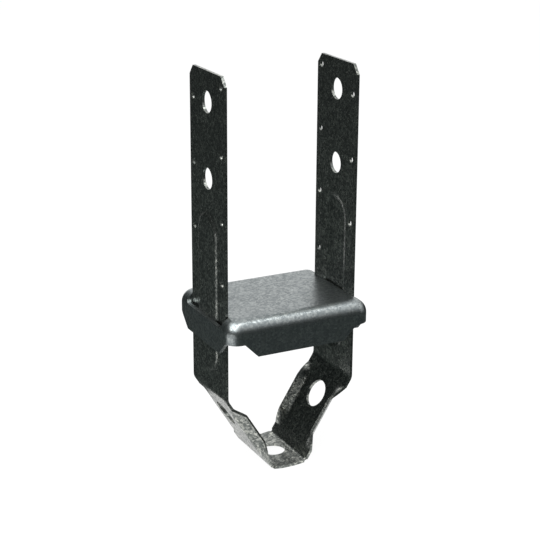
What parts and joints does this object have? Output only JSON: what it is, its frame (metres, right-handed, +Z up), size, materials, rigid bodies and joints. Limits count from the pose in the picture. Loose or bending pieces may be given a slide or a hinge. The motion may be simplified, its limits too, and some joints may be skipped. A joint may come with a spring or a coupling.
{
  "type": "timber post base",
  "caption": "Cast-in timber post base: a folded galvanised strap with two drilled upright legs and a V-shaped tail, and a pressed pan that holds the post clear of the concrete.",
  "frame": {"origin": "centre of the strap's bottom pad, on its underside", "axes": "+Z up along the legs, +X across the post gap from the left leg to the right leg as seen from the front, +Y across the strap from front to back"},
  "size_m": [0.1034, 0.0824, 0.2708],
  "materials": {
    "galvanised_strap": "galvanised sheet, dark mottled spangle",
    "galvanised_pan": "galvanised sheet, fine mottled spangle"
  },
  "bodies": {
    "root": {"strap": "galvanised_strap", "standoff_pan": "galvanised_pan"}
  },
  "joints": []
}
